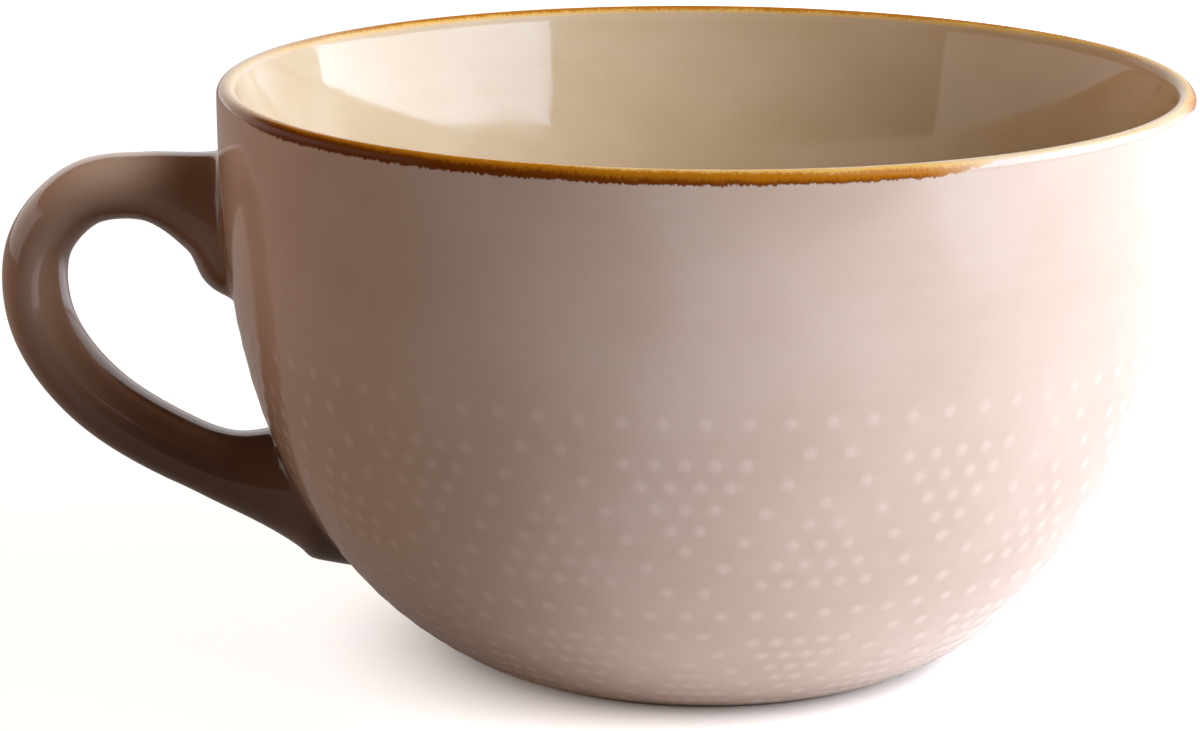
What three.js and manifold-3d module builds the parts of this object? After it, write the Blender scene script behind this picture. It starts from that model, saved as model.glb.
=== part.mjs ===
// Soup mug: a round stoneware bowl and an ear shaped handle, stuck on with slip, glazed and banded at the rim.
// Millimetres, +Z up. The mug stands on z = 0 and its handle points to -X.
import * as THREE from 'three';
import { mergeVertices } from 'three/addons/utils/BufferGeometryUtils.js';
import Module from 'manifold-3d';

// Bowl
const HEIGHT = 77.7;
const RIM_RADIUS = 65;
const SIDE_FULLNESS = 2.62; // exponents of the wall's curve: how long the side stays upright,
const BASE_FULLNESS = 2.45; // and how far the base stays flat
const LIP_THICKNESS = 2.6;
const WALL_THICKNESS = 6.2;
const LIP_TAPER = 26; // below the round of the lip: over this height the wall thins to the lip
const FLOOR_THICKNESS = 5;
const FLOOR_BLEND = 3; // how softly the wall turns into the floor inside

// Foot ring, of bare clay
const FOOT_RADIUS = 31.8;
const FOOT_HEIGHT = 1.2; // the glaze stops here
const FOOT_FLARE = 2.2; // how far the wall stands out over the foot at the glaze line
const FOOT_WIDTH = 4.5;
const FOOT_RECESS = 1.4;
const FOOT_CHAMFER = 0.5;

// Glaze and rim band
const GLAZE_THICKNESS = 0.4;
const BAND_DROP = 1.6; // how far the band runs down the outside, below the round of the lip
const BAND_INSIDE_DROP = 0.3; // and down the inside

// Handle: its line runs from the upper root round the ear to the lower root
const HANDLE_REACH = 25.7; // from the rim's outside to the middle of the ear
const HANDLE_THICKNESS = 8.7;
const HANDLE_WIDTH = 14;
const UPPER_ROOT_DEPTH = 19.6; // below the rim
const LOWER_ROOT_HEIGHT = 21.3; // above the table
const ROOT_SINK = 2; // the line starts and ends this far inside the wall,
const ROOT_RUN_ON = 10; // and the roots run on straight before they are cut to the wall
const UPPER_FLARE = 6.1;
const UPPER_FLARE_LENGTH = 16.6;
const LOWER_FLARE = 6.4;
const LOWER_FLARE_LENGTH = 18.3;
const FLARE_WIDENING = 0.6; // growth of the half width for each millimetre of flare
// Points of the handle's line in shares of its reach and of the height between its roots
const HANDLE_LOOP = [
  [0.085, 1.06],
  [0.41, 1.115],
  [0.75, 1.075],
  [0.985, 0.87],
  [0.95, 0.565],
  [0.625, 0.28],
  [0.04, 0.06],
];

// Slip between the handle's roots and the wall
const SLIP_THICKNESS = 1;

// Clearances
const SKIN_GAP = 0.1; // between a glaze coat and the clay under it
const SEAT_GAP = 0.3; // between pieces that are cut to fit each other

// Fineness
const TURN_STEPS = 48;
const WALL_STEPS = 10;
const TAPER_STEPS = 4;
const LIP_STEPS = 6;
const BAND_STEPS = 1;
const HANDLE_STEPS = 26;
const HANDLE_SIDES = 16;
const ROOT_STEPS = 9; // steps of the handle's line that hold one root

const clayDepth = GLAZE_THICKNESS + SKIN_GAP;
const lipRadius = LIP_THICKNESS / 2;
const lipBase = HEIGHT - lipRadius;
const floorTop = FOOT_RECESS + FLOOR_THICKNESS;
const blankBore = FOOT_RADIUS / 2;

// The outside of the glazed wall is a superellipse, upright at the rim, that passes through the glaze line
// above the foot and would close on the axis wallDepth below the rim.
const glazeLineShare = (FOOT_RADIUS + FOOT_FLARE) / RIM_RADIUS;
const glazeLineDepth = (1 - glazeLineShare ** BASE_FULLNESS) ** (1 / SIDE_FULLNESS);
const wallDepth = (HEIGHT - FOOT_HEIGHT) / glazeLineDepth;

function wallRadius(z) {
  const depth = (HEIGHT - z) / wallDepth;
  return RIM_RADIUS * (1 - depth ** SIDE_FULLNESS) ** (1 / BASE_FULLNESS);
}

function wallAngle(z) {
  return Math.asin(((HEIGHT - z) / wallDepth) ** (SIDE_FULLNESS / 2));
}

function smoothMax(a, b, softness) {
  return (a + b + Math.hypot(a - b, softness)) / 2;
}

// Curves of the glazed surface hold (radius, height). They are followed up the outside, over the lip and
// down the inside, so the clay is always on the left.
function awayFromClay(curve, t) {
  const tangent = curve.getTangent(t);
  return new THREE.Vector2(tangent.y, -tangent.x);
}

class OutsideCurve extends THREE.Curve {
  constructor(low, high) {
    super();
    this.lowAngle = wallAngle(low);
    this.highAngle = wallAngle(high);
  }

  getPoint(t, target = new THREE.Vector2()) {
    const angle = THREE.MathUtils.lerp(this.lowAngle, this.highAngle, t);
    const radius = RIM_RADIUS * Math.cos(angle) ** (2 / BASE_FULLNESS);
    return target.set(radius, HEIGHT - wallDepth * Math.sin(angle) ** (2 / SIDE_FULLNESS));
  }
}

// The inside follows the outside at the wall's thickness, which thins to the lip, and levels out on the floor.
class InsideCurve extends THREE.Curve {
  constructor(high, low) {
    super();
    this.outside = new OutsideCurve(low, high);
  }

  getPoint(t, target = new THREE.Vector2()) {
    const onOutside = this.outside.getPoint(1 - t);
    const taper = Math.sin((Math.min((lipBase - onOutside.y) / LIP_TAPER, 1) * Math.PI) / 2);
    const thickness = THREE.MathUtils.lerp(LIP_THICKNESS, WALL_THICKNESS, taper);
    target.copy(onOutside).addScaledVector(awayFromClay(this.outside, 1 - t), -thickness);
    return target.set(Math.max(target.x, 0), smoothMax(target.y, floorTop, FLOOR_BLEND));
  }
}

function sampleCurve(curve, steps, depth) {
  const points = [];
  for (let i = 0; i <= steps; i += 1) {
    const t = i / steps;
    const point = curve.getPoint(t).addScaledVector(awayFromClay(curve, t), -depth);
    points.push(point.setX(Math.max(point.x, 0)));
  }
  return points;
}

function revolve(profile) {
  return new THREE.LatheGeometry(profile, TURN_STEPS).rotateX(Math.PI / 2);
}

// Several runs of curve laid end to end at one depth under the glazed surface
function sampleRuns(runs, depth) {
  return runs.flatMap(([curve, steps], i) => sampleCurve(curve, steps, depth).slice(i ? 1 : 0));
}

// A coat between two depths under the glazed surface, closed on itself
function revolveCoat(runs, topDepth, bottomDepth) {
  const top = sampleRuns(runs, topDepth);
  const bottom = sampleRuns(runs, bottomDepth).reverse();
  return revolve([...top, ...bottom, top[0]]);
}

const bandEdge = lipBase - BAND_DROP;
const bandEdgeInside = lipBase - BAND_INSIDE_DROP;
const taperEnd = lipBase - LIP_TAPER;
const curveBottom = HEIGHT - wallDepth;
const lipArc = new THREE.ArcCurve(RIM_RADIUS - lipRadius, lipBase, lipRadius, 0, Math.PI);
const wallRun = [new OutsideCurve(FOOT_HEIGHT, bandEdge - SKIN_GAP), WALL_STEPS];
const bandRuns = [
  [new OutsideCurve(bandEdge, lipBase), BAND_STEPS],
  [lipArc, LIP_STEPS],
  [new InsideCurve(lipBase, bandEdgeInside), BAND_STEPS],
];
const linerRuns = [
  [new InsideCurve(bandEdgeInside - SKIN_GAP, taperEnd), TAPER_STEPS],
  [new InsideCurve(taperEnd, curveBottom), WALL_STEPS],
];

function bowlGeometry() {
  const foot = [
    new THREE.Vector2(0, FOOT_RECESS),
    new THREE.Vector2(FOOT_RADIUS - FOOT_WIDTH - FOOT_RECESS, FOOT_RECESS),
    new THREE.Vector2(FOOT_RADIUS - FOOT_WIDTH, 0),
    new THREE.Vector2(FOOT_RADIUS - FOOT_CHAMFER, 0),
    new THREE.Vector2(FOOT_RADIUS, FOOT_CHAMFER),
  ];
  return revolve([...foot, ...sampleRuns([wallRun, ...bandRuns, ...linerRuns], clayDepth)]);
}

function linerGeometry() {
  return revolve([...sampleRuns(linerRuns, GLAZE_THICKNESS).reverse(), ...sampleRuns(linerRuns, 0)]);
}

function rimBandGeometry() {
  return revolveCoat(bandRuns, 0, GLAZE_THICKNESS);
}

// Handle
const upperRootHeight = HEIGHT - UPPER_ROOT_DEPTH;
const handleLine = new THREE.SplineCurve([
  new THREE.Vector2(wallRadius(upperRootHeight) - ROOT_SINK, upperRootHeight),
  ...HANDLE_LOOP.map(([out, up]) => new THREE.Vector2(
    RIM_RADIUS + out * HANDLE_REACH,
    THREE.MathUtils.lerp(LOWER_ROOT_HEIGHT, upperRootHeight, up),
  )),
  new THREE.Vector2(wallRadius(LOWER_ROOT_HEIGHT) - ROOT_SINK, LOWER_ROOT_HEIGHT),
]);

function rootFlare(share) {
  const length = handleLine.getLength();
  const upper = Math.max(0, 1 - (share * length) / UPPER_FLARE_LENGTH);
  const lower = Math.max(0, 1 - ((1 - share) * length) / LOWER_FLARE_LENGTH);
  return UPPER_FLARE * upper ** 2 + LOWER_FLARE * lower ** 2;
}

// One oval section of the handle, a stated depth under its glazed surface. It may be moved on along the line.
function handleSection(step, depth, runOn = 0) {
  const share = step / HANDLE_STEPS;
  const tangent = handleLine.getTangentAt(share);
  const centre = handleLine.getPointAt(share).addScaledVector(tangent, runOn);
  const flare = rootFlare(share);
  const halfThickness = HANDLE_THICKNESS / 2 + flare - depth;
  const halfWidth = HANDLE_WIDTH / 2 + FLARE_WIDENING * flare - depth;
  const section = [];
  for (let i = 0; i < HANDLE_SIDES; i += 1) {
    const angle = (2 * Math.PI * i) / HANDLE_SIDES;
    const rise = halfThickness * Math.cos(angle);
    section.push(new THREE.Vector3(
      -(centre.x - tangent.y * rise),
      halfWidth * Math.sin(angle),
      centre.y + tangent.x * rise,
    ));
  }
  return { centre: new THREE.Vector3(-centre.x, 0, centre.y), section };
}

// A closed loft through the handle's sections between two steps of its line
function loftHandle(depth, from = 0, to = HANDLE_STEPS) {
  const rings = [handleSection(from, depth, -ROOT_RUN_ON)];
  for (let step = from; step <= to; step += 1) {
    rings.push(handleSection(step, depth));
  }
  rings.push(handleSection(to, depth, ROOT_RUN_ON));
  const steps = rings.length - 1;
  const points = [...rings.flatMap((ring) => ring.section), rings[0].centre, rings[steps].centre];
  const firstCentre = points.length - 2;
  const lastCentre = points.length - 1;
  const index = [];
  for (let side = 0; side < HANDLE_SIDES; side += 1) {
    const next = (side + 1) % HANDLE_SIDES;
    for (let i = 0; i < steps; i += 1) {
      const a = i * HANDLE_SIDES + side;
      const b = i * HANDLE_SIDES + next;
      index.push(a, b, a + HANDLE_SIDES, b, b + HANDLE_SIDES, a + HANDLE_SIDES);
    }
    index.push(firstCentre, next, side);
    index.push(lastCentre, steps * HANDLE_SIDES + side, steps * HANDLE_SIDES + next);
  }
  return new THREE.BufferGeometry().setFromPoints(points).setIndex(index);
}

// Joins and cuts
const wasm = await Module();
wasm.setup();

function toSolid(geometry) {
  const bare = geometry.clone();
  bare.deleteAttribute('normal');
  bare.deleteAttribute('uv');
  const merged = mergeVertices(bare);
  return new wasm.Manifold(new wasm.Mesh({
    numProp: 3,
    vertProperties: new Float32Array(merged.attributes.position.array),
    triVerts: new Uint32Array(merged.index.array),
  }));
}

function toGeometry(solid) {
  const mesh = solid.getMesh();
  const geometry = new THREE.BufferGeometry();
  geometry.setAttribute('position', new THREE.BufferAttribute(mesh.vertProperties, 3));
  return geometry.setIndex(new THREE.BufferAttribute(mesh.triVerts, 1));
}

// A coat along the whole outside, between two depths under the glazed wall
function wallCoat(topDepth, bottomDepth) {
  return toSolid(revolveCoat([wallRun], topDepth, bottomDepth));
}

// A thick ring with the bowl's outline, a stated depth under the glazed wall, for cutting roots to the wall
function bowlBlank(depth) {
  const wall = sampleRuns([wallRun], depth);
  const bore = [wall.at(-1), wall[0]].map((point) => new THREE.Vector2(blankBore, point.y));
  return toSolid(revolve([...wall, ...bore, wall[0]]));
}

const slipTop = clayDepth - SEAT_GAP - SLIP_THICKNESS;

function handleGeometry() {
  const core = toSolid(loftHandle(clayDepth));
  return toGeometry(core.subtract(bowlBlank(slipTop - SEAT_GAP)));
}

function slipGeometry(from, to) {
  const root = toSolid(loftHandle(clayDepth, from, to));
  return toGeometry(root.intersect(wallCoat(slipTop, clayDepth - SEAT_GAP)));
}

function handleGlazeGeometry() {
  const coat = toSolid(loftHandle(0)).subtract(toSolid(loftHandle(GLAZE_THICKNESS)));
  return toGeometry(coat.subtract(bowlBlank(-SEAT_GAP)));
}

// The wall's glaze leaves a window under each root, where the slip reaches the clay.
function outerGlazeGeometry() {
  const windows = toSolid(loftHandle(clayDepth - SEAT_GAP));
  return toGeometry(wallCoat(0, GLAZE_THICKNESS).subtract(windows));
}

function addPiece(group, name, geometry, material) {
  geometry.computeVertexNormals();
  const mesh = new THREE.Mesh(geometry, new THREE.MeshStandardMaterial(material));
  mesh.name = name;
  group.add(mesh);
}

const bareClay = { color: 0xc9b8a2, roughness: 0.85, metalness: 0 };
const slip = { color: 0xbfae98, roughness: 0.9, metalness: 0 };
const beigeGlaze = { color: 0xb39a84, roughness: 0.2, metalness: 0 };
const creamGlaze = { color: 0xd8c4a6, roughness: 0.15, metalness: 0 };
const taupeGlaze = { color: 0x8b6f58, roughness: 0.18, metalness: 0 };
const ironGlaze = { color: 0x84420f, roughness: 0.3, metalness: 0 };

const mug = new THREE.Group();
addPiece(mug, 'bowl', bowlGeometry(), bareClay);
addPiece(mug, 'handle', handleGeometry(), bareClay);
addPiece(mug, 'upper_joint', slipGeometry(0, ROOT_STEPS), slip);
addPiece(mug, 'lower_joint', slipGeometry(HANDLE_STEPS - ROOT_STEPS, HANDLE_STEPS), slip);
addPiece(mug, 'outer_glaze', outerGlazeGeometry(), beigeGlaze);
addPiece(mug, 'liner_glaze', linerGeometry(), creamGlaze);
addPiece(mug, 'handle_glaze', handleGlazeGeometry(), taupeGlaze);
addPiece(mug, 'rim_band', rimBandGeometry(), ironGlaze);

// The origin lies on the table under the middle of the mug's outline.
const outline = new THREE.Box3().setFromObject(mug);
mug.position.x = -(outline.min.x + outline.max.x) / 2;

export default mug;
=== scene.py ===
"""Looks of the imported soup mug: clay, glazes, dotted relief, rim band and handle, in the CAD frame.

Lengths are in metres. A profile point is a vector of radius and height. A profile is followed up the outside,
over the lip and down the inside, so the clay is on its left. Angles round the bowl start at the front, which
faces -Y, and grow towards +X. The handle points to -X.
"""

import bisect
import logging
import math
from abc import ABC, abstractmethod
from collections.abc import Iterator, Sequence
from dataclasses import dataclass, field
from enum import Enum

import bpy
from mathutils import Matrix, Quaternion, Vector


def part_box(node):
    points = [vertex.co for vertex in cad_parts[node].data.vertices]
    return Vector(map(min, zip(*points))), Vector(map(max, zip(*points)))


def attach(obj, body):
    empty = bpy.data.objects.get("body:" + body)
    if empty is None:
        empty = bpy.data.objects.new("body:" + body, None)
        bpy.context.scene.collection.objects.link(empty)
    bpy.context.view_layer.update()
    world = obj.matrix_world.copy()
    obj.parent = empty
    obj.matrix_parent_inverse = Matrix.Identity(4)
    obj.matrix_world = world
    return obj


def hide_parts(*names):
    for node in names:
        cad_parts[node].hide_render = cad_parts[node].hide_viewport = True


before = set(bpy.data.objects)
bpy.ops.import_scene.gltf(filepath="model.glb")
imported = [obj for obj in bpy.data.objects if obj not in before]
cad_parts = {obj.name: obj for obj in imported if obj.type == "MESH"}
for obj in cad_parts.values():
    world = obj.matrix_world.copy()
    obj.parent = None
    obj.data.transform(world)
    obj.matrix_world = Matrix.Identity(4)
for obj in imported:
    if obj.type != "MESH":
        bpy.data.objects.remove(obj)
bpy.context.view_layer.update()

LOG = logging.getLogger("soup_mug")
MM = 0.001
BODY = "root"

Colour = tuple[float, float, float]
Span = tuple[float, float]
Socket = bpy.types.NodeSocket

WHITE: Colour = (1, 1, 1)
# Where most of a cloudy pattern lies
NOISE_RANGE: Span = (0.3, 0.7)


class Node(str, Enum):
    """Pieces of the CAD model."""

    BOWL = "bowl"
    HANDLE = "handle"
    UPPER_JOINT = "upper_joint"
    LOWER_JOINT = "lower_joint"
    OUTER_GLAZE = "outer_glaze"
    LINER_GLAZE = "liner_glaze"
    HANDLE_GLAZE = "handle_glaze"
    RIM_BAND = "rim_band"


class Slot(str, Enum):
    """Material slots of the record."""

    BARE_CLAY = "bare_clay"
    SLIP = "slip"
    BEIGE_GLAZE = "beige_glaze"
    CREAM_GLAZE = "cream_glaze"
    TAUPE_GLAZE = "taupe_glaze"
    IRON_GLAZE = "iron_glaze"


def srgb(red: int, green: int, blue: int) -> Colour:
    """Turn a colour as seen on a screen into light.

    Args:
        red: Red, 0 to 255.
        green: Green, 0 to 255.
        blue: Blue, 0 to 255.

    Returns:
        The colour in linear shares.
    """
    shares = (value / 255 for value in (red, green, blue))
    return tuple(s / 12.92 if s <= 0.04045 else ((s + 0.055) / 1.055) ** 2.4 for s in shares)


def lerp(start: float, end: float, share: float) -> float:
    """Go a share of the way from start to end."""
    return start + (end - start) * share


def smooth_max(a: float, b: float, softness: float) -> float:
    """Take the greater of two values, with a soft change from one to the other."""
    return (a + b + math.hypot(a - b, softness)) / 2


class Path:
    """A line through points that can be walked by distance, and runs on straight past its ends."""

    def __init__(self, points: Sequence[Vector]) -> None:
        """Measure the line.

        Args:
            points: Points of the line, in order.
        """
        self.points = list(points)
        self.marks = [0.0]
        for here, there in zip(self.points, self.points[1:]):
            self.marks.append(self.marks[-1] + (there - here).length)

    @property
    def length(self) -> float:
        """Length from the first point to the last."""
        return self.marks[-1]

    def stretch(self, distance: float) -> int:
        """Find which stretch between two points holds a distance."""
        return min(max(bisect.bisect_right(self.marks, distance) - 1, 0), len(self.points) - 2)

    def at(self, distance: float) -> Vector:
        """Find a point of the line.

        Args:
            distance: Distance from the first point.

        Returns:
            The point.
        """
        i = self.stretch(distance)
        share = (distance - self.marks[i]) / (self.marks[i + 1] - self.marks[i])
        return self.points[i].lerp(self.points[i + 1], share)

    def heading(self, distance: float, reach: float = 0.2 * MM) -> Vector:
        """Find the line's direction.

        Args:
            distance: Distance from the first point.
            reach: How far before and behind the direction is read.

        Returns:
            A vector of length 1.
        """
        return (self.at(distance + reach) - self.at(distance - reach)).normalized()

    def even(self, spacing: float) -> list[Vector]:
        """Walk the line in even steps.

        Args:
            spacing: Length that a step is close to.

        Returns:
            Points along the line, both ends among them.
        """
        steps = max(1, round(self.length / spacing))
        return [self.at(self.length * i / steps) for i in range(steps + 1)]


def sunk(profile: Sequence[Vector], depth: float) -> list[Vector]:
    """Move a profile under its surface.

    Args:
        profile: Points of radius and height, with the clay on the left.
        depth: Distance to move them.

    Returns:
        The moved points, none past the axis.
    """
    last = len(profile) - 1
    moved = []
    for i, point in enumerate(profile):
        along = (profile[min(i + 1, last)] - profile[max(i - 1, 0)]).normalized()
        moved.append(Vector((max(point.x - along.y * depth, 0.0), point.y + along.x * depth)))
    return moved


def round_corners(profile: Sequence[Vector], radius: float, steps: int = 5) -> list[Vector]:
    """Round the inner corners of a profile.

    Args:
        profile: Points of radius and height.
        radius: How far from a corner its round starts.
        steps: Number of points that a round gets.

    Returns:
        The profile with a short curve at each corner.
    """
    rounded = [profile[0]]
    for before, corner, after in zip(profile, profile[1:], profile[2:]):
        start = corner + (before - corner).normalized() * radius
        end = corner + (after - corner).normalized() * radius
        for i in range(steps):
            share = i / (steps - 1)
            rounded.append(start.lerp(corner, share).lerp(corner.lerp(end, share), share))
    rounded.append(profile[-1])
    return rounded


@dataclass(frozen=True)
class Wall:
    """The bowl's glazed surface: a superellipse outside, and an inside that follows it."""

    axis: float
    height: float
    rim_radius: float
    glaze_line: float
    glaze_line_radius: float = 34 * MM
    side_fullness: float = 2.62
    base_fullness: float = 2.45
    lip_thickness: float = 2.6 * MM
    wall_thickness: float = 6.2 * MM
    lip_taper: float = 26 * MM
    floor_top: float = 6.4 * MM
    floor_blend: float = 3 * MM
    band_drop: float = 1.6 * MM
    band_inside_drop: float = 0.3 * MM
    samples: int = 320
    lip_samples: int = 40

    @classmethod
    def from_frame(cls) -> "Wall":
        """Read the wall's place and main sizes from the CAD model.

        Returns:
            The wall.
        """
        low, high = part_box(Node.RIM_BAND.value)
        foot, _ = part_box(Node.OUTER_GLAZE.value)
        return cls((low.x + high.x) / 2, high.z, (high.y - low.y) / 2, foot.z)

    @property
    def depth(self) -> float:
        """Depth below the rim at which the outside would close on the axis."""
        share = (self.glaze_line_radius / self.rim_radius) ** self.base_fullness
        return (self.height - self.glaze_line) / (1 - share) ** (1 / self.side_fullness)

    @property
    def lip_base(self) -> float:
        """Height at which the round of the lip starts."""
        return self.height - self.lip_thickness / 2

    @property
    def lip_centre(self) -> float:
        """Radius of the middle of the lip's round."""
        return self.rim_radius - self.lip_thickness / 2

    @property
    def band_edge(self) -> float:
        """Height of the rim band's lower edge outside."""
        return self.lip_base - self.band_drop

    @property
    def band_edge_inside(self) -> float:
        """Height of the rim band's lower edge inside, measured on the outside."""
        return self.lip_base - self.band_inside_drop

    def radius(self, height: float) -> float:
        """Radius of the outside at a height."""
        share = 1 - ((self.height - height) / self.depth) ** self.side_fullness
        return self.rim_radius * share ** (1 / self.base_fullness)

    def turn(self, height: float) -> float:
        """Angle of the outside's curve at a height, from 0 at the rim to a right angle on the axis."""
        return math.asin(min(((self.height - height) / self.depth) ** (self.side_fullness / 2), 1))

    def outside(self, low: float, high: float) -> list[Vector]:
        """Follow the outside upwards.

        Args:
            low: Height to start from.
            high: Height to end at.

        Returns:
            Close points of the profile.
        """
        start, end = self.turn(low), self.turn(high)
        points = []
        for i in range(self.samples + 1):
            turn = lerp(start, end, i / self.samples)
            radius = self.rim_radius * max(math.cos(turn), 0) ** (2 / self.base_fullness)
            drop = self.depth * math.sin(turn) ** (2 / self.side_fullness)
            points.append(Vector((radius, self.height - drop)))
        return points

    def lip(self) -> list[Vector]:
        """Follow the round of the lip from the outside to the inside.

        Returns:
            Close points of the profile.
        """
        round_radius = self.lip_thickness / 2
        centre = Vector((self.lip_centre, self.lip_base))
        turns = [math.pi * i / self.lip_samples for i in range(self.lip_samples + 1)]
        return [centre + round_radius * Vector((math.cos(turn), math.sin(turn))) for turn in turns]

    def inside(self, high: float, low: float | None = None) -> list[Vector]:
        """Follow the inside downwards.

        Args:
            high: Height of the outside opposite the start.
            low: Height of the outside opposite the end, or None to go on to the axis.

        Returns:
            Close points of the profile.
        """
        outside = self.outside(self.height - self.depth if low is None else low, high)
        inside = []
        for i, point in enumerate(outside):
            along = (outside[min(i + 1, self.samples)] - outside[max(i - 1, 0)]).normalized()
            taper = math.sin(min((self.lip_base - point.y) / self.lip_taper, 1) * math.pi / 2)
            thickness = lerp(self.lip_thickness, self.wall_thickness, taper)
            height = smooth_max(point.y + along.x * thickness, self.floor_top, self.floor_blend)
            inside.append(Vector((max(point.x - along.y * thickness, 0.0), height)))
        return inside[::-1]

    def place(self, angle: float, point: Vector) -> Vector:
        """Turn a profile point into a place on the bowl.

        Args:
            angle: Angle round the bowl.
            point: Radius and height.

        Returns:
            The place in the CAD frame.
        """
        return Vector((self.axis + point.x * math.sin(angle), -point.x * math.cos(angle), point.y))

    def outward(self, place: Vector) -> Vector:
        """Find the direction square to the outside.

        Args:
            place: A place on the outside.

        Returns:
            A vector of length 1 that points away from the bowl.
        """
        step = 0.1 * MM
        lean = (self.radius(place.z + step) - self.radius(place.z - step)) / (2 * step)
        flat = Vector((place.x - self.axis, place.y, 0)).normalized()
        return (flat - lean * Vector((0, 0, 1))).normalized()

    def clearance(self, place: Vector) -> float:
        """Distance of a place from the outside, measured level, and negative inside the bowl."""
        return math.hypot(place.x - self.axis, place.y) - self.radius(place.z)

    def settle(self, place: Vector) -> Vector:
        """Move a place level onto the outside."""
        flat = Vector((place.x - self.axis, place.y, 0))
        return Vector((self.axis, 0, place.z)) + flat.normalized() * self.radius(place.z)


@dataclass(frozen=True)
class Wheel:
    """A potter's wheel, which turns an outline about the bowl's axis."""

    axis: float
    steps: int = 192
    merge: float = 0.01 * MM
    crease: float = math.radians(35)

    def turn(self, name: str, outline: Sequence[Vector]) -> bpy.types.Object:
        """Make a round piece.

        Args:
            name: The piece's name.
            outline: Closed profile, or one with both ends on the axis.

        Returns:
            The piece.
        """
        bpy.ops.object.select_all(action="DESELECT")
        bpy.ops.mesh.primitive_plane_add(size=MM, location=(self.axis + outline[0].x, 0, outline[0].y))
        piece = bpy.context.object
        piece.name = piece.data.name = name
        bpy.ops.object.mode_set(mode="EDIT")
        bpy.ops.mesh.merge(type="CENTER")
        for here, there in zip(outline, outline[1:]):
            step = (there.x - here.x, 0, there.y - here.y)
            bpy.ops.mesh.extrude_vertices_move(TRANSFORM_OT_translate={"value": step})
        bpy.ops.mesh.select_all(action="SELECT")
        bpy.ops.mesh.spin(steps=self.steps, angle=math.tau, center=(self.axis, 0, 0), axis=(0, 0, 1))
        bpy.ops.mesh.select_all(action="SELECT")
        bpy.ops.mesh.remove_doubles(threshold=self.merge)
        bpy.ops.mesh.normals_make_consistent(inside=False)
        bpy.ops.object.mode_set(mode="OBJECT")
        bpy.ops.object.transform_apply()
        bpy.ops.object.shade_smooth_by_angle(angle=self.crease)
        return piece


class Nodes:
    """A node tree under construction, with short calls for the nodes that materials and the room share."""

    def __init__(self, tree: bpy.types.NodeTree) -> None:
        """Start work on a tree.

        Args:
            tree: The tree that gets the nodes.
        """
        self.tree = tree

    def feed(self, socket: Socket, value: object) -> None:
        """Link a socket to another node's output, or set its value.

        Args:
            socket: The socket.
            value: An output to link, or a value.
        """
        if isinstance(value, Socket):
            self.tree.links.new(value, socket)
        else:
            socket.default_value = value

    def sum(self, operation: str, *values: object) -> Socket:
        """Add a Math node.

        Args:
            operation: The node's operation.
            values: Sockets or numbers that it works on.

        Returns:
            The result.
        """
        node = self.tree.nodes.new("ShaderNodeMath")
        node.operation = operation
        for socket, value in zip(node.inputs, values):
            self.feed(socket, value)
        return node.outputs["Value"]

    def mix(self, share: Socket, first: object, second: object) -> Socket:
        """Blend two colours.

        Args:
            share: How much of the second colour shows.
            first: A colour or a socket.
            second: A colour or a socket.

        Returns:
            The blended colour.
        """
        node = self.tree.nodes.new("ShaderNodeMix")
        node.data_type = "RGBA"
        self.feed(node.inputs[0], share)
        for socket, value in ((node.inputs[6], first), (node.inputs[7], second)):
            self.feed(socket, value if isinstance(value, Socket) else (*value, 1))
        return node.outputs[2]

    def seen(self, mirrored: float = 1.0) -> Socket:
        """Tell what the camera sees, straight, mirrored or through glass, from what only lights the mug.

        Args:
            mirrored: How strongly mirrored rays see it.

        Returns:
            1 for what is seen, the given strength for what is seen mirrored, otherwise 0.
        """
        rays = self.tree.nodes.new("ShaderNodeLightPath").outputs
        direct = self.sum("MULTIPLY_ADD", rays["Is Glossy Ray"], mirrored, rays["Is Camera Ray"])
        return self.sum("MAXIMUM", direct, rays["Is Transmission Ray"])


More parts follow.
